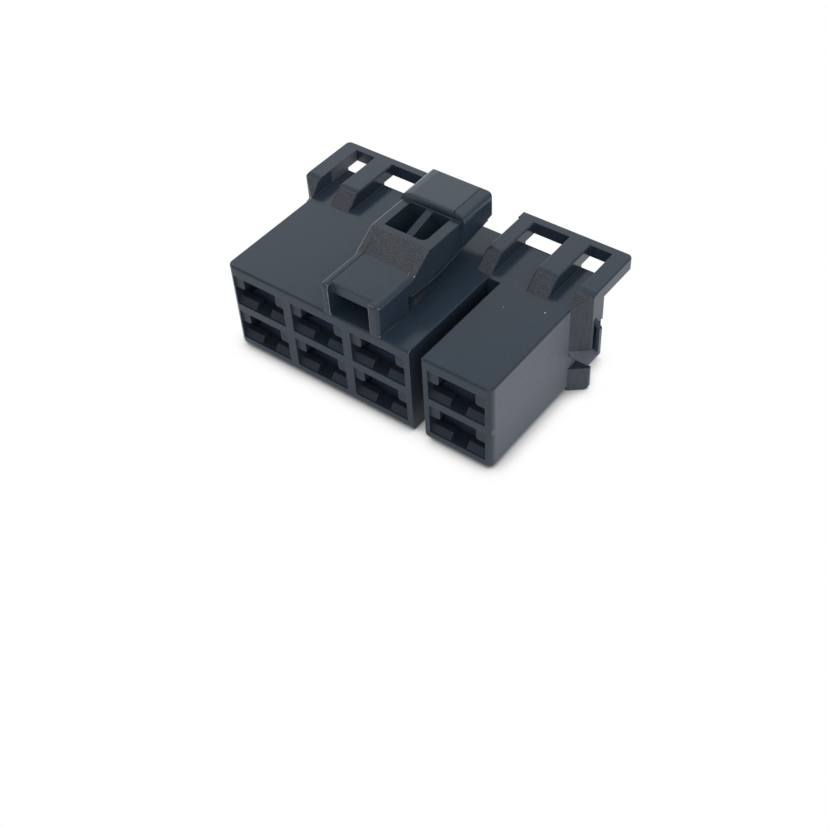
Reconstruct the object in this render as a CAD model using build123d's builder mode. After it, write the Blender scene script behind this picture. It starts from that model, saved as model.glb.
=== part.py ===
from build123d import *
import os

os.makedirs("parts", exist_ok=True)

# Terminal cavities, sized for receptacles that take a 6.3 mm wide blade
blade_width = 6.3
cavity_clearance = 1.45
cavity_width = blade_width + cavity_clearance
cavity_height = 4.4
column_pitch = 9.0
row_pitch = 5.5
row_count = 2
left_columns = 3

# Walls of the two front blocks and the key slot between them
shell_wall = 1.45
end_wall = 0.8
slot_wall = 0.65
outer_wall = 0.85
slot_width = 1.75
slot_depth = 15.3
body_depth = 23.0

# Edge rounding of the body
corner_round = 0.9
base_round = 0.85
edge_round = 0.25
slot_left_round = 0.4
slot_right_round = 1.2

# Mating mouth of a cavity: a wide slot with a narrower room above it
mouth_upper_width = 4.95
mouth_wide_height = 2.55
mouth_corner_round = 0.35
mouth_recess = 0.25
mouth_depth = 13.0

# Lead-in ledges on the floor of each mouth, with a channel between them
ledge_height = 0.8
ledge_ramp = 0.6
ledge_flat = 0.9
channel_width = 2.2

# Flexible lance that holds a terminal, hanging from each cavity roof
lance_width = 3.0
lance_root = 14.2
lance_root_length = 1.8
lance_tip = 6.2
lance_drop = 2.2
lance_hook = 0.6
lance_heel = 1.8
lance_thickness = 0.85

# Latch lever heights, each from the level below it
low_rise = 4.2
step_rise = 1.78
pad_rise = 0.89

# Latch lever lengths, one after the other from the mating face
post_depth = 3.4
hinge_length = 1.0
hinge_taper = 1.4
low_length = 6.9
step_length = 2.75
window_gap = 0.95
window_length = 5.05
window_bridge = 0.1
pad_length = 5.85

# Latch lever walls and plate
latch_width = 8.35
latch_left_wall = 1.175
latch_right_wall = 1.375
plate_setback = 0.85
plate_thickness = 1.5
plate_recess = 0.1
recess_rim = 0.9
hinge_gap = 2.3
hinge_rise = 0.35
arm_gap = 1.55
arm_lowest = 10.5
arm_tail_gap = 3.1

# Edge rounding of the latch lever
post_top_round = 0.5
post_corner_round = 0.55
arm_foot_round = 0.15
plate_edge_round = 0.2
window_tight_round = 0.2
window_wide_round = 0.8

# Centre rib, from under the plate through the window to the thumb pad
rib_width = 0.95
rib_x = -0.24
rib_setback = 0.6
rib_depth = 0.75
rib_window_drop = 1.1
rib_rear_drop = 0.15
rib_tail = 1.5
rib_tail_depth = 2.1

# Thumb pad: a flat crown, a slope past the crease and round shoulders
pad_overhang = 0.425
pad_crease = 3.17
pad_slope_drop = 0.27
pad_shoulder_round = 0.95
pad_side_draft = 0.3
pad_front_lean = 0.3
pad_edge_round = 0.3
pad_corner_round = 0.4
pad_foot_rise = 0.4
pad_thickness = 1.1
pad_hollow_slope = 1.1

# Wire side guard: bars over the top, a rail behind, ramps at both ends
guard_overhang = 3.0
guard_height = 1.87
guard_lift = 0.25
guard_foot = 15.7
guard_run = 2.2
ramp_round = 1.2
rail_thickness = 1.15
side_stand_out = 2.0
side_foot = 15.75
side_run = 1.6
side_ramp_round = 1.5
post_length = 2.3
guard_corner_round = 0.7
guard_edge_round = 0.2
bar_edge_round = 0.2

# Bars of the guard, each as its centre and width along the length
outer_bar_x = 14.6
outer_bar_width = 2.95
right_inner_bar_x = 7.25
left_inner_bar_x = 6.25
inner_bar_width = 2.1
corner_bar_width = 2.15
corner_web = 0.4
right_rail_reach = 0.2

# Upper panel of an end guard, with the pocket behind its ramp
upper_panel_base = 6.35
pocket_start = 0.4
pocket_drop = 2.1
pocket_slope = 1.05
pocket_floor = 0.5

# Lower panel of an end guard
lower_panel_top = 3.55
lower_panel_wall = 0.35
lower_panel_round = 0.6

# Lip that flares out from the foot of the upper panel, and the hook strap on it
lip_stand_out = 2.7
lip_depth = 2.45
lip_edge = 0.15
lip_flare = 0.6
lip_crown_inset = 0.35
hook_depth = 0.55
hook_stand_out = 2.82
hook_strap = 0.4
hook_rise = 4.6
hook_lean = 1.15

# Depth to which an added feature is set into what carries it, and the run-out of a cut
seat = 0.2
cut_margin = 1.0

left_block_width = 2 * end_wall + cavity_width + (left_columns - 1) * column_pitch
right_block_width = slot_wall + cavity_width + outer_wall
body_length = left_block_width + slot_width + right_block_width
body_height = 2 * shell_wall + cavity_height + (row_count - 1) * row_pitch
total_depth = body_depth + guard_overhang
front_y = -total_depth / 2
rear_y = front_y + body_depth
end_y = front_y + total_depth
side_x = body_length / 2
guard_x = side_x + side_stand_out
guard_top = body_height + guard_height
guard_base = body_height + guard_lift
slot_x = -side_x + left_block_width + slot_width / 2

# Column centres and the floor height of each row
first_column = -side_x + end_wall + cavity_width / 2
column_centres = [first_column + column_pitch * i for i in range(left_columns)]
column_centres.append(side_x - outer_wall - cavity_width / 2)
row_floors = [shell_wall + row_pitch * i for i in range(row_count)]
cavity_floors = [(x, floor) for x in column_centres for floor in row_floors]
cavity_middles = [(x, floor + cavity_height / 2) for x, floor in cavity_floors]

front_plane = Plane.XZ.offset(-front_y)
rear_plane = Plane.XZ.offset(-rear_y)


def back(distance):
    """Y of a plane this far behind the mating face."""
    return front_y + distance


# Outline of a mating mouth, floor centre at the origin
with BuildSketch() as mouth:
    with BuildLine():
        Polyline(
            (-cavity_width / 2, 0),
            (cavity_width / 2, 0),
            (cavity_width / 2, mouth_wide_height),
            (mouth_upper_width / 2, mouth_wide_height),
            (mouth_upper_width / 2, cavity_height),
            (-mouth_upper_width / 2, cavity_height),
            (-mouth_upper_width / 2, mouth_wide_height),
            (-cavity_width / 2, mouth_wide_height),
            close=True,
        )
    make_face()
    shoulders = mouth.vertices().group_by(Axis.Y)[1].sort_by(Axis.X)
    fillet(shoulders[1:3], mouth_corner_round)

# Cross section of the key slot, flared where it meets the underside
slot_half = slot_width / 2
left_flare = -slot_half - slot_left_round
right_flare = slot_half + slot_right_round
slot_top = body_height + cut_margin
with BuildSketch() as slot_section:
    with BuildLine():
        Polyline(
            (-slot_half, slot_left_round),
            (-slot_half, slot_top),
            (slot_half, slot_top),
            (slot_half, slot_right_round),
        )
        RadiusArc((slot_half, slot_right_round), (right_flare, 0), -slot_right_round)
        Polyline(
            (right_flare, 0),
            (right_flare, -cut_margin),
            (left_flare, -cut_margin),
            (left_flare, 0),
        )
        RadiusArc((left_flare, 0), (-slot_half, slot_left_round), -slot_left_round)
    make_face()

# Body with its key slot and cavities
ledge_width = (cavity_width - channel_width) / 2
ledge_reach = (channel_width + ledge_width) / 2
with BuildPart() as body:
    with BuildSketch() as footprint:
        with Locations((0, (front_y + rear_y) / 2)):
            Rectangle(body_length, body_depth)
        fillet(footprint.vertices().group_by(Axis.Y)[0], corner_round)
    extrude(amount=body_height)
    base_edges = body.faces().sort_by(Axis.Z)[0].edges()
    fillet(base_edges.sort_by(Axis.Y)[:-1], base_round)
    fillet(body.faces().sort_by(Axis.Z)[-1].edges(), edge_round)

    with BuildSketch(front_plane):
        with Locations((slot_x, 0)):
            add(slot_section.sketch)
    extrude(amount=-slot_depth, mode=Mode.SUBTRACT)

    with BuildSketch(front_plane):
        with Locations(*cavity_middles):
            Rectangle(cavity_width, cavity_height)
    extrude(amount=-mouth_recess, mode=Mode.SUBTRACT)
    with BuildSketch(front_plane):
        with Locations(*cavity_floors):
            add(mouth.sketch)
    extrude(amount=-mouth_depth, mode=Mode.SUBTRACT)
    with BuildSketch(rear_plane):
        with Locations(*cavity_middles):
            Rectangle(cavity_width, cavity_height)
    extrude(amount=body_depth - mouth_depth, mode=Mode.SUBTRACT)

    # Lead-in ledges, left and right of the channel
    ledge_start = back(mouth_recess)
    ledge_end = ledge_start + ledge_ramp + ledge_flat
    for x in [c + side * ledge_reach for c in column_centres for side in (-1, 1)]:
        with BuildSketch(Plane.YZ.offset(x)):
            for floor in row_floors:
                with BuildLine():
                    Polyline(
                        (ledge_start, floor - seat),
                        (ledge_start, floor),
                        (ledge_start + ledge_ramp, floor + ledge_height),
                        (ledge_end, floor + ledge_height),
                        (ledge_end, floor - seat),
                        close=True,
                    )
                make_face()
        extrude(amount=ledge_width / 2, both=True)

    # Lances, rooted in the roof and reaching forward and down
    tip_y = back(lance_tip)
    for x in column_centres:
        with BuildSketch(Plane.YZ.offset(x)):
            for floor in row_floors:
                roof = floor + cavity_height
                underside = roof - lance_drop
                with BuildLine():
                    Polyline(
                        (back(lance_root), roof + seat),
                        (back(lance_root - lance_root_length), roof + seat),
                        (tip_y, underside + lance_thickness),
                        (tip_y, underside - lance_hook),
                        (tip_y + lance_hook, underside - lance_hook),
                        (tip_y + lance_heel, underside),
                        close=True,
                    )
                make_face()
        extrude(amount=lance_width / 2, both=True)

# Levels and stations of the latch lever
low_top = body_height + low_rise
high_top = low_top + step_rise
pad_top = high_top + pad_rise
step_end = low_length + step_length
window_start = step_end + window_gap
window_end = window_start + window_length
pad_start = window_end + window_bridge
pad_end = pad_start + pad_length
plate_under = low_top - plate_thickness
high_under = high_top - plate_thickness
pad_under = pad_top - pad_thickness
arm_under = body_height + arm_gap
tail_z = body_height + arm_tail_gap
hinge_end = post_depth + hinge_length
half_latch = latch_width / 2
pad_half = half_latch + pad_overhang
pad_foot_half = pad_half - pad_side_draft
hollow_half = (latch_width - latch_left_wall - latch_right_wall) / 2
hollow_x = (latch_left_wall - latch_right_wall) / 2

# Thumb pad: its cross section, trimmed to its side profile and its plan
with BuildPart() as pad:
    with BuildSketch(Plane.XZ.offset(-back(pad_start))) as section:
        with BuildLine():
            Polyline(
                (-pad_crease, pad_top),
                (pad_crease, pad_top),
                (pad_half, pad_top - pad_slope_drop),
                (pad_foot_half, body_height),
                (-pad_foot_half, body_height),
                (-pad_half, pad_top - pad_slope_drop),
                close=True,
            )
        make_face()
        shoulder_level = section.vertices().group_by(Axis.Y)[1]
        fillet(shoulder_level, pad_shoulder_round)
    extrude(amount=-pad_length)
    with BuildSketch(Plane.YZ) as profile:
        with BuildLine():
            Polyline(
                (back(pad_start), high_top),
                (back(pad_start + pad_front_lean), pad_top),
                (back(pad_end), pad_top),
                (back(pad_end), tail_z + pad_foot_rise),
                (back(arm_lowest), arm_under + pad_foot_rise),
                close=True,
            )
        make_face()
        outer_corners = profile.vertices().group_by(Axis.X)[-1]
        fillet(outer_corners, pad_edge_round)
        front_crown = (back(pad_start + pad_front_lean), pad_top)
        fillet(profile.vertices().sort_by_distance(front_crown)[0], pad_edge_round)
    extrude(amount=pad_half, both=True, mode=Mode.INTERSECT)
    with BuildSketch(Plane.XY.offset(body_height)) as plan:
        with Locations((0, back((pad_start + pad_end) / 2))):
            Rectangle(2 * pad_half, pad_length)
        fillet(plan.vertices().group_by(Axis.Y)[-1], pad_corner_round)
    extrude(amount=pad_top, mode=Mode.INTERSECT)

with BuildPart() as latch:
    with BuildSketch(Plane.YZ) as arm_outline:
        with BuildLine():
            Polyline(
                (back(0), body_height - seat),
                (back(0), low_top),
                (back(low_length), low_top),
                (back(step_end), high_top),
                (back(pad_end), high_top),
                (back(pad_end), tail_z),
                (back(arm_lowest), arm_under),
                (back(hinge_end + hinge_taper), arm_under + hinge_rise),
                (back(hinge_end), body_height + hinge_gap),
                (back(post_depth), body_height + hinge_gap),
                (back(post_depth), body_height - seat),
                close=True,
            )
        make_face()
        fillet(arm_outline.vertices().sort_by_distance((back(pad_end), tail_z))[0], pad_edge_round)
        fillet(arm_outline.vertices().sort_by_distance((back(0), low_top))[0], post_top_round)
    extrude(amount=half_latch, both=True)
    front_uprights = latch.edges().filter_by(Axis.Z).group_by(Axis.Y)[0]
    fillet(front_uprights, post_corner_round)
    rear_uprights = latch.edges().filter_by(Axis.Z).group_by(Axis.Y)[-1]
    fillet(rear_uprights, pad_corner_round)
    foot_edges = latch.edges().filter_by(
        lambda edge: abs(edge.center().X) > half_latch - seat
        and edge.center().Y > back(hinge_end)
        and edge.center().Z < tail_z
    )
    fillet(foot_edges, arm_foot_round)
    add(pad.part)

    # Hollow underside between the two side walls
    with BuildSketch(Plane.YZ.offset(hollow_x)):
        with BuildLine():
            Polyline(
                (back(-cut_margin), 0),
                (back(-cut_margin), plate_under),
                (back(low_length + plate_setback / 2), plate_under),
                (back(step_end + plate_setback / 2), high_under),
                (back(pad_start + pad_hollow_slope), high_under),
                (back(pad_start + 2 * pad_hollow_slope), pad_under),
                (back(pad_end + cut_margin), pad_under),
                (back(pad_end + cut_margin), 0),
                close=True,
            )
        make_face()
    extrude(amount=hollow_half, both=True, mode=Mode.SUBTRACT)

    # Front edge of the plate, set back between the posts
    with BuildSketch(Plane.YZ.offset(hollow_x)):
        with Locations((back(0), low_top)):
            Rectangle(2 * plate_setback, 4 * plate_thickness)
    extrude(amount=hollow_half, both=True, mode=Mode.SUBTRACT)

    # Shallow recess of the plate between the two rims, up to the head of the step
    with BuildSketch(Plane.YZ):
        with BuildLine():
            Polyline(
                (back(0), low_top + cut_margin),
                (back(0), low_top - plate_recess),
                (back(low_length + plate_recess / 2), low_top - plate_recess),
                (back(step_end - plate_recess / 2), high_top - plate_recess / 2),
                (back(step_end - plate_recess / 2), pad_top),
                close=True,
            )
        make_face()
    extrude(amount=half_latch - recess_rim, both=True, mode=Mode.SUBTRACT)
    plate_front = (hollow_x, back(plate_setback), low_top - plate_recess)
    fillet(latch.edges().filter_by(Axis.X).sort_by_distance(plate_front)[0], plate_edge_round)

    # Window in the high part of the arm
    with BuildSketch(Plane.XY.offset(high_top - 2 * plate_thickness)) as window:
        with Locations((hollow_x, back((window_start + window_end) / 2))):
            Rectangle(2 * hollow_half, window_length)
        near_left = (hollow_x - hollow_half, back(window_start))
        near_right = (hollow_x + hollow_half, back(window_start))
        fillet(window.vertices().sort_by_distance(near_left)[0], window_tight_round)
        fillet(window.vertices().sort_by_distance(near_right)[0], window_wide_round)
    extrude(amount=2 * plate_thickness + pad_rise, mode=Mode.SUBTRACT)

    # Centre rib under the plate, rising through the window to the pad
    rib_start = plate_setback + rib_setback
    rib_end = pad_end - rib_tail
    with BuildSketch(Plane.YZ.offset(rib_x)):
        with BuildLine():
            Polyline(
                (back(rib_start), plate_under + seat),
                (back(low_length), plate_under + seat),
                (back(step_end), high_under + seat),
                (back(window_start), high_top - rib_window_drop - seat),
                (back(window_end), high_top - rib_rear_drop),
                (back(rib_end), high_top - rib_rear_drop),
                (back(rib_end), high_under - rib_tail_depth + seat),
                (back(step_end), plate_under - rib_depth),
                (back(rib_start), plate_under - rib_depth),
                close=True,
            )
        make_face()
    extrude(amount=rib_width / 2, both=True)

# Side profile of the guard bars, from the ramp foot back into the rail
bar_end = end_y - rail_thickness / 2
with BuildSketch() as bar_profile:
    with BuildLine():
        Polyline(
            (back(guard_foot), body_height - seat),
            (back(guard_foot), body_height),
            (back(guard_foot + guard_run), guard_top),
            (bar_end, guard_top),
            (bar_end, guard_base),
            (rear_y, guard_base),
            (rear_y, body_height - seat),
            close=True,
        )
    make_face()
    ramp_head = bar_profile.vertices().group_by(Axis.Y)[-1].sort_by(Axis.X)[0]
    fillet(ramp_head, ramp_round)



def guard_bar(centre, width):
    """A bar over the top with its long upper edges rounded."""
    with BuildPart() as bar:
        with BuildSketch(Plane.YZ.offset(centre)):
            add(bar_profile.sketch)
        extrude(amount=width / 2, both=True)
        crown = bar.faces().sort_by(Axis.Z)[-1]
        long_edges = crown.edges().filter_by(Axis.Y)
        fillet(long_edges, bar_edge_round)
    return bar.part


# Stations and levels of an end guard
panel_end = side_foot + side_run
pocket_front = panel_end + pocket_start
post_rear = panel_end + post_length
pocket_top = guard_top - pocket_drop - guard_height
lip_base = upper_panel_base - lip_flare
lip_rear = side_foot + lip_depth
lip_x = side_x + lip_stand_out
hook_x = side_x + hook_stand_out
hook_top = upper_panel_base + hook_rise


def end_guard(rail_start):
    """Frame, panels, lip and hook of the right end, with the rail from this X."""
    with BuildPart() as guard:
        # Upper panel and post, bounded above by a ramp that meets the panel's own
        with BuildSketch(Plane.XY.offset(upper_panel_base)):
            with BuildLine():
                Polyline(
                    (side_x - seat, back(side_foot)),
                    (side_x, back(side_foot)),
                    (guard_x, back(panel_end)),
                    (guard_x, back(post_rear)),
                    (side_x - seat, back(post_rear)),
                    close=True,
                )
            make_face()
        extrude(amount=guard_top - upper_panel_base)
        with BuildSketch(Plane.YZ.offset(side_x - cut_margin)) as side_ramp:
            with BuildLine():
                Polyline(
                    (back(0), 0),
                    (back(0), body_height),
                    (back(side_foot), body_height),
                    (back(panel_end), guard_top),
                    (end_y, guard_top),
                    (end_y, 0),
                    close=True,
                )
            make_face()
            ramp_head = side_ramp.vertices().sort_by_distance((back(panel_end), guard_top))[0]
            fillet(ramp_head, side_ramp_round)
        extrude(amount=side_stand_out + 2 * cut_margin, mode=Mode.INTERSECT)

        # Pocket behind the ramp, with a sloping roof
        with BuildSketch(Plane.YZ.offset(side_x + pocket_floor)):
            with BuildLine():
                Polyline(
                    (back(pocket_front), upper_panel_base),
                    (back(pocket_front), pocket_top),
                    (back(post_rear), pocket_top - pocket_slope),
                    (back(post_rear + cut_margin), pocket_top - pocket_slope),
                    (back(post_rear + cut_margin), upper_panel_base),
                    close=True,
                )
            make_face()
        extrude(amount=side_stand_out, mode=Mode.SUBTRACT)

        # Lip that flares from the foot of the panel out to a thin edge
        with BuildSketch(Plane.XY.offset(lip_base)):
            with BuildLine():
                Polyline(
                    (side_x - seat, back(side_foot)),
                    (side_x, back(side_foot)),
                    (lip_x, back(side_foot)),
                    (lip_x, back(lip_rear)),
                    (side_x - seat, back(lip_rear)),
                    close=True,
                )
            make_face()
        with BuildSketch(Plane.XY.offset(upper_panel_base)):
            with BuildLine():
                Polyline(
                    (side_x - seat, back(side_foot)),
                    (side_x, back(side_foot)),
                    (guard_x, back(panel_end)),
                    (lip_x - lip_crown_inset, back(lip_rear)),
                    (side_x - seat, back(lip_rear)),
                    close=True,
                )
            make_face()
        loft(ruled=True)
        with BuildSketch(Plane.XY.offset(lip_base - lip_edge)):
            with Locations((side_x - seat, back(side_foot))):
                Rectangle(lip_stand_out + seat, lip_depth, align=(Align.MIN, Align.MIN))
        extrude(amount=lip_edge)

        # Hook strap standing on the lip, leaning in to the post at its top
        with BuildSketch(Plane.XZ.offset(-back(lip_rear - hook_depth))):
            with BuildLine():
                Polyline(
                    (hook_x - hook_strap, lip_base),
                    (hook_x, lip_base),
                    (hook_x, hook_top - hook_lean),
                    (guard_x, hook_top),
                    (guard_x - seat, hook_top),
                    (guard_x - seat, hook_top - hook_strap),
                    (hook_x - hook_strap, hook_top - hook_lean),
                    close=True,
                )
            make_face()
        extrude(amount=-hook_depth)

        # Lower panel, a thin ramp down to the base
        with BuildSketch(Plane.XY):
            with BuildLine():
                Polyline(
                    (side_x - seat, back(side_foot)),
                    (side_x, back(side_foot)),
                    (guard_x, back(panel_end)),
                    (guard_x, back(panel_end + lower_panel_wall)),
                    (side_x - seat, back(panel_end + lower_panel_wall)),
                    close=True,
                )
            make_face()
        extrude(amount=lower_panel_top)
        low_edges = guard.faces().sort_by(Axis.Z)[0].edges()
        fillet(low_edges.sort_by(Axis.X)[-1], min(lower_panel_round, 0.9 * lower_panel_top))

        # Web that joins the corner bar to the edge of the body's top
        with BuildSketch(Plane.XY.offset(body_height - seat)):
            with Locations((guard_x - corner_bar_width, rear_y)):
                Rectangle(
                    corner_bar_width - side_stand_out + corner_web,
                    rear_y - back(panel_end),
                    align=(Align.MIN, Align.MAX),
                )
        extrude(amount=guard_lift + 2 * seat)

        # Corner bar and rail, with the outer upper edge rounded all the way
        with BuildSketch(Plane.XY.offset(guard_base)) as frame:
            with Locations((guard_x, end_y)):
                Rectangle(guard_x - rail_start, rail_thickness, align=(Align.MAX, Align.MAX))
                Rectangle(
                    corner_bar_width,
                    end_y - back(panel_end + side_ramp_round / 2),
                    align=(Align.MAX, Align.MAX),
                )
            fillet(frame.vertices().sort_by_distance((guard_x, end_y))[0], guard_corner_round)
        extrude(amount=guard_height - guard_lift)
        crown = guard.faces().sort_by(Axis.Z)[-1]
        outer_edges = crown.edges().filter_by(
            lambda edge: edge.center().X > guard_x - guard_corner_round
            or edge.center().Y > end_y - guard_corner_round
        )
        fillet(outer_edges, guard_edge_round)
    return guard.part


bar_parts = [
    guard_bar(outer_bar_x, outer_bar_width),
    guard_bar(right_inner_bar_x, inner_bar_width),
    guard_bar(-outer_bar_x, outer_bar_width),
    guard_bar(-left_inner_bar_x, inner_bar_width),
]
right_guard = end_guard(right_inner_bar_x - inner_bar_width / 2 - right_rail_reach)
left_guard = end_guard(left_inner_bar_x - inner_bar_width / 2)

# Whole housing
with BuildPart() as housing:
    add(body.part)
    add(latch.part)
    add(bar_parts)
    add(right_guard)
    mirror(left_guard, about=Plane.YZ)

housing.part.label = "housing"
export_step(housing.part, "parts/housing.step")
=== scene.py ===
# %% [markdown]
# # A black connector housing, lit on white
#
# The object is a moulded housing for flat blade terminals: eight rooms in two rows, a key slot, a springy
# latch with a thumb pad, and a guard frame over the wire side. It is one piece of plastic, so the packed
# model already holds nearly its whole shape. What is left for Blender is some thin trim and the look: a satin
# black surface with fine grain on the slopes, softly broken edges, and the even white light of a product
# photograph.
#
# Everything is in metres, and +Z is up. The first cell loads the packed model, which never moves.

# %% Load the packed model
import math

import bmesh
import bpy
from mathutils import Matrix, Vector


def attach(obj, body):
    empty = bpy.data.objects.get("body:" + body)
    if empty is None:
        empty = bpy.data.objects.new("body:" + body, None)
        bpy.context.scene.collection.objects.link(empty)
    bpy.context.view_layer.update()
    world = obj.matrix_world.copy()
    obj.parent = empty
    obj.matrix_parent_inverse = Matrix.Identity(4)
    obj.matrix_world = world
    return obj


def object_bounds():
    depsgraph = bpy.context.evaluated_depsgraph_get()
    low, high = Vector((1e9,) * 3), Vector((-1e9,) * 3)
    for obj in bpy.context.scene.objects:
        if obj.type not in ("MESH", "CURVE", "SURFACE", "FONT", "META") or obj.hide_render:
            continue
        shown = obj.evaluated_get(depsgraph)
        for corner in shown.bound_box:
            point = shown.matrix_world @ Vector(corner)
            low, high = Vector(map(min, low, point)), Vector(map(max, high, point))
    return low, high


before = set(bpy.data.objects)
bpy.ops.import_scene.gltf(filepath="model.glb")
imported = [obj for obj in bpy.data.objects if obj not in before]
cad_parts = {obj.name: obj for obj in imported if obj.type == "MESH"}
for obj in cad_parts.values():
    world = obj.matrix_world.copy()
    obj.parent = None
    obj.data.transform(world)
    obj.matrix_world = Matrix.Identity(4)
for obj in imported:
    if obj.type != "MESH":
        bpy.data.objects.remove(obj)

MM = 0.001
cad_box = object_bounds()
low, high = [Vector(corner) for corner in cad_box]
print("housing box in mm:", [round(v / MM, 2) for v in (high - low)])

# %% [markdown]
# ## Writing shader sums as sums
#
# A finish is a sum of small causes: a grain here, a smoother patch there. Blender wires those as Math nodes,
# which are hard to read in code. This class holds one output socket, and each operator on it adds the Math
# node for that operation, so a mask can be written as `grain * 0.5 + 0.2` or `1 - mask`. Only numbers go
# through it. Colours go through Mix and places through Vector Math.

# %% A socket that can be added, subtracted and multiplied
class Wire:
    """One output socket of a node tree. Sums on it become Math nodes."""

    def __init__(self, recipe, socket):
        self.recipe = recipe
        self.socket = socket

    def math(self, operation, *inputs):
        sockets = dict(enumerate(inputs))
        return self.recipe.node("Math", {"operation": operation}, sockets)

    def __add__(self, other):
        return self.math("ADD", self, other)

    def __radd__(self, other):
        return self.math("ADD", other, self)

    def __sub__(self, other):
        return self.math("SUBTRACT", self, other)

    def __rsub__(self, other):
        return self.math("SUBTRACT", other, self)

    def __mul__(self, other):
        return self.math("MULTIPLY", self, other)

    def __rmul__(self, other):
        return self.math("MULTIPLY", other, self)

    def __abs__(self):
        return self.math("ABSOLUTE", self)

    def larger(self, other):
        return self.math("MAXIMUM", self, other)

    def smaller(self, other):
        return self.math("MINIMUM", self, other)


print("operators of a wire:", sorted(name.strip("_") for name in vars(Wire) if callable(vars(Wire)[name])))

# %% [markdown]
# One method makes every other node. It takes the node's type, its settings, which are set first because they
# change which sockets exist, and then the values or wires of its sockets. The methods after it only give
# short names to the nodes that are used most.

# %% A recipe is one node tree
class Recipe:
    """The nodes of one material or of the world."""

    def __init__(self, owner):
        owner.use_nodes = True
        self.tree = owner.node_tree

    def node(self, kind, settings, sockets, output=0):
        made = self.tree.nodes.new("ShaderNode" + kind)
        for name, value in settings.items():
            setattr(made, name, value)
        for name, value in sockets.items():
            self.feed(made.inputs[name], value)
        if made.outputs:
            return Wire(self, made.outputs[output])

    def feed(self, target, value):
        if isinstance(value, Wire):
            self.tree.links.new(value.socket, target)
        else:
            target.default_value = value

    def step(self, value, start, end):
        """0 below start, 1 above end, and a smooth rise between them."""
        sockets = {"Value": value, "From Min": start, "From Max": end}
        return self.node("MapRange", {"interpolation_type": "SMOOTHSTEP"}, sockets)

    def mix(self, amount, first, second):
        """Blend two colours."""
        return self.node("Mix", {"data_type": "RGBA"}, {0: amount, 6: first, 7: second}, 2)

    def measure(self, operation, first, second):
        """A number from two vectors, such as their distance or how alike they point."""
        return self.node("VectorMath", {"operation": operation}, {0: first, 1: second}, "Value")

    def split(self, vector):
        """The X, Y and Z of a vector, as three wires."""
        parts = self.node("SeparateXYZ", {}, {0: vector}).socket.node
        return [Wire(self, socket) for socket in parts.outputs]

    def noise(self, place, per_mm, detail):
        """Smooth noise with about this many bumps in a millimetre."""
        sockets = {"Vector": place, "Scale": per_mm, "Detail": detail}
        return self.node("TexNoise", {}, sockets)


# %% [markdown]
# ## Zones of the moulding
#
# A mould isn't finished alike all over. The flat walls are polished, while the ramps are cut by spark erosion
# and leave a fine grain on the plastic. The zones could be painted on by hand or picked face by face. Here
# they are found from the surface itself, by the way it faces and the place it lies at, so they follow the
# solid exactly and stay sharp in any view.
#
# The ramps all face forward and up, or forward and out. Their directions follow from the rise and the run of
# each ramp. Signs are dropped from the normal first, because the left end mirrors the right one.

# %% Where a point lies and which way it faces
FACING_RANGE = (0.992, 0.996)
# Places and the soft borders of masks are in millimetres
SOFT = 0.1
BODY_TOP = 12.75
BODY_END = 18.95
FRONT_FACE = -13.0


def ramp(rise, run):
    """The direction that a ramp faces, with its sign dropped."""
    return Vector((0, rise, run)).normalized()


LATCH_STEP = ramp(rise=1.78, run=2.75)
BAR_RAMP = ramp(rise=1.87, run=2.2)
END_RAMP = ramp(rise=1.87, run=1.6)
END_PANEL = Vector((1.6, 2.0, 0)).normalized()
SIDEWAYS = Vector((1, 0, 0))
FORWARD = Vector((0, 1, 0))
UP = Vector((0, 0, 1))


class Surface:
    """Where a point of the housing lies, in millimetres, and the way it faces there."""

    def __init__(self, recipe):
        self.recipe = recipe
        metres = recipe.node("TexCoord", {}, {}, "Object")
        self.place = recipe.node("VectorMath", {"operation": "SCALE"}, {0: metres, "Scale": 1 / MM})
        self.x, self.y, self.z = recipe.split(self.place)
        normal = recipe.node("TexCoord", {}, {}, "Normal")
        self.normal = recipe.node("VectorMath", {"operation": "ABSOLUTE"}, {0: normal})

    def facing(self, direction):
        """1 where the surface faces this direction, give or take a few degrees."""
        match = self.recipe.measure("DOT_PRODUCT", self.normal, direction)
        return self.recipe.step(match, *FACING_RANGE)

    def past(self, value, border, soft=SOFT):
        """0 up to a border, and 1 from a little way beyond it."""
        return self.recipe.step(value, border, border + soft)

    def band(self, value, middle, half, soft):
        """1 within this half width of the middle, and 0 soon after."""
        return 1 - self.past(abs(value - middle), half, soft)

    def stretched(self, x, y, z):
        """The place with each axis scaled, for marks that are longer one way."""
        return self.recipe.node("VectorMath", {"operation": "MULTIPLY"}, {0: self.place, 1: (x, y, z)})


print("the latch step rises at", round(math.degrees(LATCH_STEP.angle(UP)), 1), "degrees")

# %% [markdown]
# ## Grain of the slopes
#
# Spark erosion leaves tiny pits on the ramps of the real housing, and its end panels carry fine upright
# streaks. Real pits in the mesh would take millions of faces, so noise makes them. The streaks are the same
# noise, drawn out upward. Both are used twice, for the colour and for the relief, so the dark dots sit in the
# dips and the pale dots on the tops.

# %% Pits on the ramps and streaks on the panels
GRAIN_PER_MM = 8.0
GRAIN_DETAIL = 2.0
PIT_RANGE = (0.25, 0.75)
STREAK_SCALE = (GRAIN_PER_MM, GRAIN_PER_MM, 0.4)
STREAK_RANGE = (0.10, 0.90)


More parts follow.
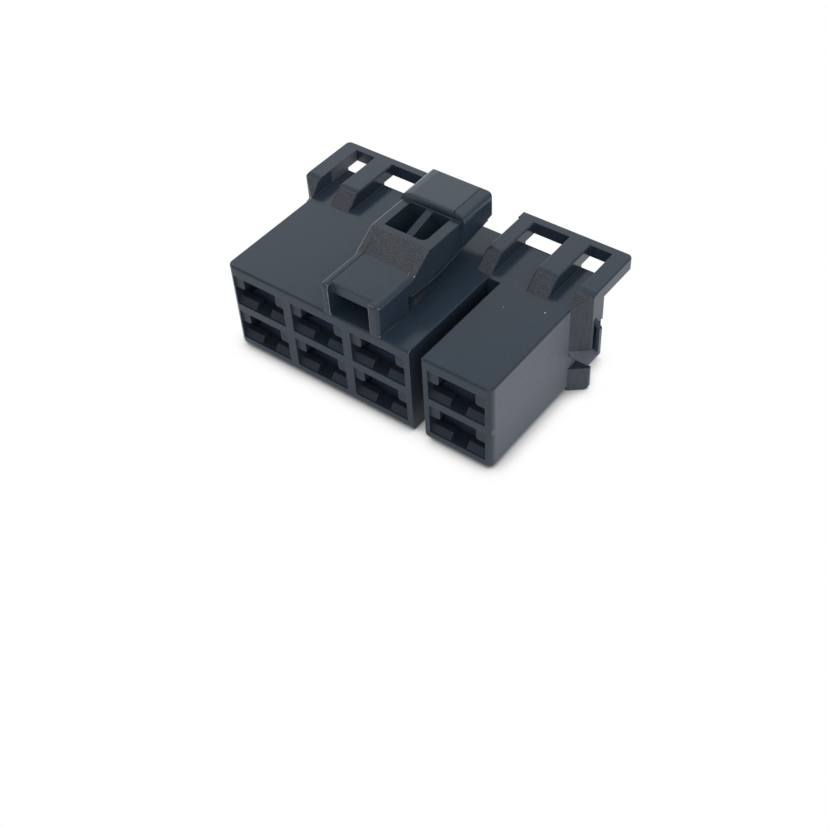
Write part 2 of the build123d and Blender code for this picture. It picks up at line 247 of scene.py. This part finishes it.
def grain_of(surface):
    """Which ramps are pitted, which panels are streaked, and the height of both."""
    recipe = surface.recipe
    above = surface.past(surface.z, BODY_TOP)
    outside = surface.past(abs(surface.x), BODY_END)
    ramps = surface.facing(LATCH_STEP) + surface.facing(BAR_RAMP) + surface.facing(END_RAMP)
    ramps = ramps.smaller(1.0) * above
    panels = surface.facing(END_PANEL) * outside
    pits = recipe.step(recipe.noise(surface.place, GRAIN_PER_MM, GRAIN_DETAIL), *PIT_RANGE)
    drawn_out = surface.stretched(*STREAK_SCALE)
    streaks = recipe.step(recipe.noise(drawn_out, 1.0, GRAIN_DETAIL), *STREAK_RANGE)
    return ramps, panels, ramps * pits + panels * streaks


print("grain:", GRAIN_PER_MM, "pits in a mm")

# %% [markdown]
# ## Walls and rooms
#
# The two end walls and the lip around each end are blasted, which scatters the light and makes them look pale
# grey; that pale grey is partly painted, a painted reflection of the white floor. The mouths are painted
# darker as painted shade, and deeper in, the rooms catch little light and get a lighter blue as painted fill
# light. Each could be a material of its own, given to picked faces, but a finish would then stop hard at the
# border of a face. A mask made from the place and the direction lets one finish fade into the next.

# %% Masks of the walls and rooms
ROOM_TOP = 11.55
MOUTH_START = FRONT_FACE + 0.1
CORE_START = FRONT_FACE + 2.0
CORE_END = -2.0
LIP_MIDDLE = 6.0
LIP_HALF = 0.38


def walls_of(surface):
    """The mouths, the depth of the rooms, the blasted ends, and the walls that face the front."""
    outside = surface.past(abs(surface.x), BODY_END)
    within = (1 - outside) * (1 - surface.past(surface.z, ROOM_TOP, soft=0.3))
    # Painted shade: the coat over this mask paints the mouths of the rooms darker
    mouths = within * surface.past(surface.y, MOUTH_START, soft=0.2)
    # Painted fill light: the coat over this mask paints the deep rooms a lighter blue
    cores = within * surface.past(surface.y, CORE_START, soft=1.5)
    cores = cores * (1 - surface.past(surface.y, CORE_END, soft=5.0)) * (1 - surface.facing(SIDEWAYS))
    lip = surface.band(surface.z, LIP_MIDDLE, LIP_HALF, soft=0.05)
    # The pale grey coat over this mask is partly a painted reflection of the white floor
    blasted = surface.facing(SIDEWAYS).larger(lip) * outside
    front_wall = surface.facing(FORWARD) * (1 - cores)
    return mouths, cores, blasted, front_wall


print("rooms turn blue from y", CORE_START, "mm")

# %% [markdown]
# ## Broken edges
#
# No moulded edge is quite sharp, so each one catches a thin line of light. The mesh of the packed model stays
# as it is, so the Bevel node does the rounding for the light only: near an edge it turns the normal, as if
# the edge were round. Where the turned normal leaves the true one, there is an edge, and that gives the mask
# for a painted highlight along the edges too. Inside the mouths, and where a gusset meets its post, the real
# one shows no such lines, so the mask fades out there.

# %% Soft edges and a mask of them
EDGE_ROUND = 0.11 * MM
EDGE_SAMPLES = 6
EDGE_RANGE = (0.01, 0.12)
JOINT_PLACE = (0, -9.3, 14.0)
JOINT_REACH = 1.4
CALM_IN_MOUTHS = 0.85


def edges_of(surface, mouths):
    """The turned normal, and where the edges are."""
    recipe = surface.recipe
    soft_edge = recipe.node("Bevel", {"samples": EDGE_SAMPLES}, {"Radius": EDGE_ROUND})
    true_normal = recipe.node("NewGeometry", {}, {}, "Normal")
    alike = recipe.measure("DOT_PRODUCT", soft_edge, true_normal)
    # This mask also carries a painted highlight along the edges
    edge = recipe.step(1 - alike, *EDGE_RANGE)
    # X is left out, so the gussets on both sides are reached
    joint = recipe.measure("DISTANCE", surface.stretched(0, 1, 1), JOINT_PLACE)
    edge = edge * surface.past(joint, JOINT_REACH) * (1 - mouths * CALM_IN_MOUTHS)
    return soft_edge, edge


print("edges look round by", round(EDGE_ROUND / MM, 2), "mm")

# %% [markdown]
# ## Lines along the rims
#
# A painted dark line of shade runs below the front edges of the body and of the low arm, while the top front
# edge and the whole left rim of the latch shine with a painted highlight. They could be painted on an image,
# but that needs an unwrapped mesh, and the line would blur in a close view. As thin bands in Y and Z they
# stay sharp.

# %% Masks of the rims
LINE_HEIGHTS = (12.52, 16.72)
LINE_HALF = 0.06
FRONT_RIM_FOOT = BODY_TOP - 0.15
FRONT_RIM_REACH = FRONT_FACE + 0.2
ARM_FOOT = 16.0
ARM_LEFT = -4.10
ARM_REAR = 2.5


def rims_of(surface, front_wall):
    """The painted dark lines of shade, and the top front edge and the left rim of the latch, which get a
    painted highlight.
    """
    # Painted shade: dark lines below the front edges
    body_line, arm_line = [surface.band(surface.z, z, LINE_HALF, soft=0.036) for z in LINE_HEIGHTS]
    at_front = 1 - surface.past(surface.y, MOUTH_START, soft=0.2)
    shade_lines = (body_line + arm_line) * front_wall * at_front
    # Painted highlight: the top front edge
    front_rim_highlight = surface.past(surface.z, FRONT_RIM_FOOT) * (1 - surface.past(surface.y, FRONT_RIM_REACH))
    # Painted highlight: the left rim of the latch
    arm_rim_highlight = surface.past(surface.z, ARM_FOOT, soft=0.2) * (1 - surface.facing(SIDEWAYS))
    arm_rim_highlight = arm_rim_highlight * (1 - surface.past(surface.x, ARM_LEFT, soft=0.07))
    arm_rim_highlight = arm_rim_highlight * (1 - surface.past(surface.y, ARM_REAR))
    return shade_lines, front_rim_highlight, arm_rim_highlight


print("dark lines at z", LINE_HEIGHTS, "mm")

# %% [markdown]
# ## Marks on the thumb pad, dust and painted glints
#
# The top of the pad is painted a little paler as a painted sheen, its front face is painted darker as painted
# shade, and one thin crease runs across it as a painted dark line of shade. Two specks of dust lie on the top
# wall, and four corners of the latch get painted glints as bright points. They are too small to be seen as
# shapes, so each is a small round mask at its place, with noise added to the distance to make its outline
# ragged.

# %% Masks of the small marks
PAD_FACE_MIDDLE = 19.15
PAD_FACE_HALF = 0.26
PAD_FRONT = 2.8
PAD_TOP = 19.3
CREASE_X = 3.02
CREASE_HALF = 0.05
# Each spot is X, Y, Z and radius
DUST_SPECKS = [(17.0, 0.8, 12.8, 0.09), (12.6, -1.0, 12.8, 0.05)]
# Painted glints: bright points on four corners of the latch
GLINTS = [
    (4.1, -6.2, 16.95, 0.07),
    (3.2, -6.05, 16.9, 0.05),
    (4.0, -12.6, 16.75, 0.06),
    (4.05, -3.3, 18.7, 0.04),
]
RAGGED = 0.06


def pad_marks_of(surface):
    """The front face of the pad, painted dark as painted shade, its top, painted paler as a painted sheen,
    and the crease in it, painted as a dark line of shade.
    """
    # Painted shade on the front face of the pad
    pad_face_shade = surface.band(surface.z, PAD_FACE_MIDDLE, PAD_FACE_HALF, soft=0.156)
    pad_face_shade = pad_face_shade * (1 - surface.past(surface.y, PAD_FRONT))
    # The top of the pad gets a painted sheen
    on_pad = surface.past(surface.z, PAD_TOP)
    # Painted shade: the crease is a dark line in the colour only
    crease_shade = on_pad * surface.band(surface.x, CREASE_X, CREASE_HALF, soft=CREASE_HALF)
    return pad_face_shade, on_pad, crease_shade


def dust_and_glints_of(surface):
    """Specks of dust on the top wall, and painted glints on corners of the latch."""
    recipe = surface.recipe
    ragged = recipe.noise(surface.place, per_mm=9.0, detail=2.0) * RAGGED
    total = 0.0
    # Dust specks, and painted glints
    for x, y, z, radius in DUST_SPECKS + GLINTS:
        distance = recipe.measure("DISTANCE", surface.place, (x, y, z))
        total = total + (1 - surface.past(distance + ragged, radius, soft=0.07))
    return total


print(len(DUST_SPECKS), "specks and", len(GLINTS), "glints")

# %% [markdown]
# ## The black plastic
#
# The housing is black, but not a neutral black: deep in its rooms, where no lamp is mirrored, it shows a dark
# blue. So the colour is a very dark slate, and deep in the rooms a lighter blue is painted on as painted fill
# light. Most of the light that the eye sees is a reflection on top of it. That makes roughness the main
# control.
# The top wall is smooth enough to mirror the latch softly, the front is duller, and the grained ramps are
# nearly matt.
#
# The colour is laid on in coats, each over the last, from the plain black to the bright spots. One flat
# colour would be simpler, but a moulding looks computer-made without the faint clouds and smears.

# %% Colours and gloss
BLACK = (0.035, 0.059, 0.092, 1)
CLOUDED = (0.053, 0.077, 0.106, 1)
# Painted shade in the mouths of the rooms
MOUTH_SHADE = (0.038, 0.052, 0.078, 1)
# Painted fill light deep in the rooms
ROOM_FILL_LIGHT = (0.150, 0.235, 0.370, 1)
PIT = (0.040, 0.049, 0.064, 1)
GRAIN_TOP = (0.158, 0.169, 0.190, 1)
# Blasted grey, partly a painted reflection of the white floor
BLASTED_AND_FLOOR_SHEEN = (0.207, 0.224, 0.272, 1)
# Painted sheen on the edges and on the top of the pad
SHEEN_GREY = (0.200, 0.225, 0.255, 1)
# Painted shade below the front edges and on the front face of the pad
RIM_SHADE = (0.016, 0.014, 0.018, 1)
# Painted highlight on the left rim of the latch
RIM_HIGHLIGHT = (0.360, 0.390, 0.430, 1)
# Painted shade in the crease of the pad
CREASE_SHADE = (0.004, 0.005, 0.008, 1)
# Dust specks, and the painted highlight on the top front edge and the painted glints
BRIGHT = (0.85, 0.86, 0.88, 1)

PLASTIC_IOR = 1.49
POLISHED = 0.16
MOUTH_ROUGH = 0.30
FRONT_ROUGH = 0.32
CORE_ROUGH = 0.45
MATT = 0.50
BLASTED_ROUGH = 0.60
SMEAR_ROUGH = 0.05
GRAIN_ROUGH = 0.12
EDGE_ROUGH = 0.12
CREASE_ROUGH = 0.5
DUST_AND_GLINT_ROUGH = 0.4
print("roughness from", POLISHED, "to", BLASTED_ROUGH)

# %% [markdown]
# How much of each coat shows is a share of its mask. The blasted grey, partly a painted reflection of the
# white floor, thins out toward the foot and the front of each end wall as painted shade, and is mottled. The
# painted highlight on the edges comes and goes with the smears.
#
# Two layers of relief go on top of the soft edges: the grain, and the slow waves of a wall that shrank a
# little as it cooled. They are Bump nodes, because both are far thinner than any face of the mesh.

# %% Finish of the plastic
SMEAR_SCALE = (0.5, 1.6, 1.6)
SPECKLE_RANGE = (0.35, 0.70)
CLOUD_SHARE = 0.6
PANEL_SHARE = 0.55
BLASTED_SHARE = 0.62
BLASTED_MOTTLE = 0.66
# The blasted share at the foot, what is added on the way up, and what is added toward the rear
FOOT_SHARE = 0.66
RISING_SHARE = 0.30
RISING_FROM = 0.0
REAR_SHARE = 0.14
REAR_FROM = -2.0
EDGE_SHEEN_SHARE = 0.1
EDGE_SHEEN_SMEAR = 0.6
LINE_SHARE = 0.8
PAD_SHADE_SHARE = 0.7
ARM_HIGHLIGHT_SHARE = 0.35
FRONT_RIM_SMEAR = 1.8
PAD_SHEEN_SHARE = 0.22
GRAIN_DEPTH = 0.03 * MM
WAVE_DEPTH = 0.02 * MM


def black_plastic():
    material = bpy.data.materials.new("black_plastic")
    recipe = Recipe(material)
    surface = Surface(recipe)
    ramps, panels, grain = grain_of(surface)
    mouths, cores, blasted, front_wall = walls_of(surface)
    soft_edge, edge = edges_of(surface, mouths)
    shade_lines, front_rim_highlight, arm_rim_highlight = rims_of(surface, front_wall)
    pad_face_shade, on_pad, crease_shade = pad_marks_of(surface)
    dust_and_glints = dust_and_glints_of(surface)
    speckle = recipe.step(recipe.noise(surface.place, per_mm=4.0, detail=3.0), *SPECKLE_RANGE)
    smear = recipe.noise(surface.stretched(*SMEAR_SCALE), per_mm=1.0, detail=4.0)
    mottle = recipe.noise(surface.place, per_mm=2.5, detail=3.0)
    waves = recipe.noise(surface.place, per_mm=0.2, detail=2.0)

    # Painted shade: the pale coat of the end walls thins toward the foot and the front
    floor_sheen_share = FOOT_SHARE + surface.past(surface.z, RISING_FROM, soft=8.0) * RISING_SHARE
    floor_sheen_share = floor_sheen_share + surface.past(surface.y, REAR_FROM, soft=11.0) * REAR_SHARE
    coats = [
        # Painted shade in the mouths
        (mouths, MOUTH_SHADE),
        # Painted fill light in the rooms
        (cores, ROOM_FILL_LIGHT),
        (ramps + panels * PANEL_SHARE, recipe.mix(grain, PIT, GRAIN_TOP)),
        # Blasted grey, partly a painted reflection of the floor, thinner toward the foot as painted shade
        (blasted * floor_sheen_share * (BLASTED_SHARE + mottle * BLASTED_MOTTLE), BLASTED_AND_FLOOR_SHEEN),
        # Painted highlight along the edges
        (edge * (EDGE_SHEEN_SHARE + smear * EDGE_SHEEN_SMEAR), SHEEN_GREY),
        # Painted shade: dark lines below the front edges, and the front face of the pad
        (shade_lines * LINE_SHARE + pad_face_shade * PAD_SHADE_SHARE, RIM_SHADE),
        # Painted highlight on the left rim of the latch
        (arm_rim_highlight * (ARM_HIGHLIGHT_SHARE + smear), RIM_HIGHLIGHT),
        # Painted highlight on the top front edge
        (edge * front_rim_highlight * (smear * FRONT_RIM_SMEAR), BRIGHT),
        # Painted sheen on the top of the pad
        (on_pad * PAD_SHEEN_SHARE, SHEEN_GREY),
        # Painted shade in the crease
        (crease_shade, CREASE_SHADE),
        # Dust specks and painted glints
        (dust_and_glints, BRIGHT),
    ]
    colour = recipe.mix(speckle * CLOUD_SHARE, BLACK, CLOUDED)
    for amount, coat in coats:
        colour = recipe.mix(amount, colour, coat)

    roughness = (
        POLISHED + smear * SMEAR_ROUGH
        + blasted * (BLASTED_ROUGH - POLISHED)
        + front_wall * (FRONT_ROUGH - POLISHED)
        + mouths * (MOUTH_ROUGH - POLISHED) + cores * (CORE_ROUGH - MOUTH_ROUGH)
        + (ramps + panels) * (MATT - POLISHED) + grain * GRAIN_ROUGH
        + edge * EDGE_ROUGH + crease_shade * CREASE_ROUGH + dust_and_glints * DUST_AND_GLINT_ROUGH
    )

    normal = soft_edge
    for height, depth in ((grain, GRAIN_DEPTH), (waves, WAVE_DEPTH)):
        relief = {"Strength": 1.0, "Distance": depth, "Height": height, "Normal": normal}
        normal = recipe.node("Bump", {}, relief)

    shader = recipe.tree.nodes["Principled BSDF"]
    recipe.feed(shader.inputs["Base Color"], colour)
    recipe.feed(shader.inputs["Roughness"], roughness)
    recipe.feed(shader.inputs["Normal"], normal)
    recipe.feed(shader.inputs["IOR"], PLASTIC_IOR)
    return material


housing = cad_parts["housing"]
housing.data.materials.clear()
housing.data.materials.append(black_plastic())
print("faces:", len(housing.data.polygons), " nodes:", len(housing.data.materials[0].node_tree.nodes))

# %% [markdown]
# ## Thin trim of the moulding
#
# Along the lower edge of the latch arm a hair of plastic marks where the two halves of the mould met, and it
# catches the light as one thin bright line. A short gusset joins each front post to the arm, so the side of
# the latch runs on without a notch. A web closes the rear of the hollow under the thumb pad, which is why no
# sky shows in the polished top wall below it. Behind each hook strap a sloping web closes the pocket, so the
# loop looks dark from the front.
#
# They could be drawn as curves with a thickness, but those have round sections, and these are flat strips.
# So one helper makes them all: it sets a four-cornered section at each point of a line, joins the sections
# and breaks the sharp rims.

# %% Flash lines, gussets and webs
# A line is a row of Y and Z points, and the sides are its two X values, all in millimetres
PAD_WEB = {
    "line": [(7.90, 18.62), (8.30, 18.62)],
    "sides": (-3.02, 2.82), "thickness": 2.67, "rim": 0.05,
}
POST_GUSSET = {
    "line": [(-9.80, 15.30), (-7.60, 15.30)],
    "sides": (3.90, 4.17), "thickness": 2.50, "rim": 0.03,
}
ARM_FLASH = {
    "line": [(-7.2, 14.83), (-2.5, 14.48), (7.9, 15.93)],
    "sides": (4.10, 4.36), "thickness": 0.08, "rim": 0.02,
}
HOOK_WEB = {
    "line": [(4.80, 6.10), (5.20, 8.20), (5.60, 10.20)],
    "sides": (19.70, 21.55), "thickness": 0.30, "rim": 0.03,
}


def ribbon(name, line, sides, thickness, rim, sign=1):
    """A strip between two X values that follows a line. A sign of -1 mirrors it to the left."""
    mesh = bmesh.new()
    inner, outer = sign * sides[0], sign * sides[1]
    section = [(inner, 0), (outer, 0), (outer, -thickness), (inner, -thickness)]
    rows = []
    for y, z in line:
        rows.append([mesh.verts.new((x * MM, y * MM, (z + rise) * MM)) for x, rise in section])
    for first, second in zip(rows, rows[1:]):
        for side in range(4):
            after = (side + 1) % 4
            mesh.faces.new((first[side], first[after], second[after], second[side]))
    mesh.faces.new(rows[0][::-1])
    mesh.faces.new(rows[-1])
    bmesh.ops.recalc_face_normals(mesh, faces=mesh.faces)
    bmesh.ops.bevel(mesh, geom=list(mesh.edges), offset=rim * MM, segments=2, affect="EDGES")
    data = bpy.data.meshes.new(name)
    mesh.to_mesh(data)
    mesh.free()
    data.materials.append(housing.data.materials[0])
    piece = bpy.data.objects.new(name, data)
    bpy.context.scene.collection.objects.link(piece)
    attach(piece, "root")
    print(name, "faces:", len(data.polygons))


ribbon("pad_web", **PAD_WEB)
for side, sign in (("right", 1), ("left", -1)):
    ribbon("arm_flash_" + side, **ARM_FLASH, sign=sign)
    ribbon("hook_web_" + side, **HOOK_WEB, sign=sign)
    ribbon("post_gusset_" + side, **POST_GUSSET, sign=sign)

# %% [markdown]
# ## The studio
#
# The photograph has a white sweep and light from everywhere. A wide floor and a pale world do that. The
# camera should see plain white, but the lamps must stay at the level of a real room, or every colour would
# wash out. So the white is not made with more light. Away from the object, the camera sees the floor as a
# flat glow of strength 1, which is white. Near the object, where the Ambient Occlusion node finds the sky
# shut off, the real floor comes through with its soft shadow.
#
# Reflections see the glow too, but it is dimmed in front of the object and in a strip behind it. A shiny
# black wall mirrors whatever stands before it, and the photograph shows that the front walls mirror something
# dim.

# %% Floor
FLOOR_SIZE = 4.0
FLOOR_COLOUR = (0.96, 0.94, 0.91, 1)
WHITE = (1, 1, 1, 1)
CONTACT = 2.5 * MM
OPEN_RANGE = (0.25, 0.97)
DIM_MIRROR = 0.28
SHADE_SHARE = 0.5
# Where the dim part of the floor ends, along Y and to either side
DIM_FRONT = (-20 * MM, -10 * MM)
DIM_SIDES = (17 * MM, 21 * MM)


def white_floor():
    bpy.ops.mesh.primitive_plane_add(size=FLOOR_SIZE, location=(0, 0, low.z))
    floor = bpy.context.object
    floor.name = "floor"
    material = bpy.data.materials.new("white_floor")
    recipe = Recipe(material)
    recipe.tree.nodes.clear()
    diffuse = recipe.node("BsdfDiffuse", {}, {"Color": FLOOR_COLOUR})
    glow = recipe.node("Emission", {}, {"Color": WHITE, "Strength": 1.0})
    kinds = ("Is Camera Ray", "Is Glossy Ray", "Is Transmission Ray")
    camera, glossy, through = [recipe.node("LightPath", {}, {}, kind) for kind in kinds]
    open_sky = recipe.node("AmbientOcclusion", {"samples": 8}, {"Distance": CONTACT}, "AO")
    lift = recipe.step(open_sky, *OPEN_RANGE)
    across, along, _ = recipe.split(recipe.node("TexCoord", {}, {}, "Object"))
    beyond = recipe.step(along, *DIM_FRONT) * recipe.step(abs(across), *DIM_SIDES)
    mirrored = glossy.larger(through) * (DIM_MIRROR + beyond * (1 - DIM_MIRROR))
    seen = (camera * lift).larger(mirrored * (SHADE_SHARE + lift * (1 - SHADE_SHARE)))
    mixed = recipe.node("MixShader", {}, {0: seen, 1: diffuse, 2: glow})
    recipe.node("OutputMaterial", {}, {"Surface": mixed})
    floor.data.materials.append(material)
    return floor


white_floor()
print("floor at z", round(low.z / MM, 3), "mm")

# %% [markdown]
# ## The room
#
# The polished top wall mirrors the room behind and to the left, and the photograph shows it bright there,
# with less light above. So the room has a pale panel of light on that side that fades out higher up, a faint
# glow in front, and a dark patch at the front left, which is what slopes that face forward mirror. It could
# all be built from lamps and screens, but directions are easier: the world's Generated coordinate is the
# direction of each ray, and each glow is a soft disc around one direction. The camera itself sees plain
# white.

# %% World
SKY = (0.98, 0.99, 1.0, 1)
ROOM_LEVEL = 0.45
# Each glow is its direction, how alike a ray must point for it to start and to be full, and its strength
GLOWS = [
    (Vector((-0.47, 0.54, 0.60)), 0.45, 0.90, 0.52),
    (Vector((0.30, -0.95, 0.05)), 0.30, 0.95, 0.15),
    (Vector((-0.43, -0.75, 0.50)), 0.89, 0.97, -0.42),
]
PANEL_RIM = (0.61, 0.70)
PANEL_FADE = 0.75


def pale_world():
    world = bpy.data.worlds.new("pale_room")
    bpy.context.scene.world = world
    recipe = Recipe(world)
    recipe.tree.nodes.clear()
    direction = recipe.node("TexCoord", {}, {}, "Generated")
    discs = []
    for centre, start, full, strength in GLOWS:
        near = recipe.measure("DOT_PRODUCT", direction, centre.normalized())
        discs.append(recipe.step(near, start, full) * strength)
    height = recipe.split(direction)[2]
    above_panel = recipe.step(height, *PANEL_RIM)
    level = sum(discs, ROOM_LEVEL) - above_panel * discs[0] * PANEL_FADE
    camera = recipe.node("LightPath", {}, {}, "Is Camera Ray")
    light = recipe.node("Background", {}, {"Color": SKY, "Strength": level})
    white = recipe.node("Background", {}, {"Color": WHITE, "Strength": 1.0})
    mixed = recipe.node("MixShader", {}, {0: camera, 1: light, 2: white})
    recipe.node("OutputWorld", {}, {"Surface": mixed})


pale_world()
print("room level:", ROOM_LEVEL, " glows:", len(GLOWS))

# %% [markdown]
# Two lamps add to the room. The big soft one hangs overhead and lights the tops evenly. The small one is
# near the camera and puts the bright points on the nicked corners. A lamp's energy is worked out from its
# radiance, so that a lamp can change its size and keep how bright it looks in a reflection.

# %% Lamps
def softbox(name, direction, distance, size, radiance, colour):
    """A square soft lamp that looks at the housing from this direction."""
    lamp = bpy.data.lights.new(name, "AREA")
    lamp.size = size
    lamp.energy = radiance * math.pi * size ** 2
    lamp.color = colour
    holder = bpy.data.objects.new(name, lamp)
    aim = Vector(direction).normalized()
    turn = aim.to_track_quat("Z", "Y").to_matrix().to_4x4()
    holder.matrix_world = Matrix.Translation(aim * distance) @ turn
    bpy.context.scene.collection.objects.link(holder)
    print(name, round(lamp.energy, 3), "W")


LAMP_DISTANCE = 0.9
softbox("ceiling_lamp", (-0.05, 0.10, 1.0), LAMP_DISTANCE, size=0.5, radiance=0.35, colour=(1, 1, 1))
softbox("camera_lamp", (0.43, -0.57, 0.69), LAMP_DISTANCE, size=0.08, radiance=8.0, colour=(1, 0.99, 0.97))

# %% [markdown]
# ## The camera
#
# A camera could be set by eye until the view looks right, but small errors in it then pass for errors in the
# shape. This one was worked out from the straight edges of the housing in the photograph: its place, the way
# it looks and its lens are the ones that lay those edges of the model over the ones in the picture.

# %% Camera
CAMERA_PLACE = Vector((73.557, -90.999, 108.723)) * MM
CAMERA_AZIMUTH = 39.892
CAMERA_ELEVATION = 46.089
CAMERA_ROLL = -3.937
LENS = 55.315
SENSOR = 36
NEAR_END = 5 * MM


def photo_camera():
    data = bpy.data.cameras.new("camera")
    data.lens = LENS
    data.sensor_width = SENSOR
    data.clip_start = NEAR_END
    camera = bpy.data.objects.new("camera", data)
    azimuth = Matrix.Rotation(math.radians(CAMERA_AZIMUTH), 4, "Z")
    tilt = Matrix.Rotation(math.radians(90 - CAMERA_ELEVATION), 4, "X")
    roll = Matrix.Rotation(math.radians(CAMERA_ROLL), 4, "Z")
    camera.matrix_world = Matrix.Translation(CAMERA_PLACE) @ azimuth @ tilt @ roll
    bpy.context.scene.collection.objects.link(camera)
    bpy.context.scene.camera = camera


photo_camera()
bpy.context.scene.view_settings.view_transform = "Standard"
print("camera to origin:", round(CAMERA_PLACE.length / MM), "mm")

# %% [markdown]
# ## The size at the end
#
# The trim must not stick out of the box of the packed model, whose size is printed when the model is loaded.
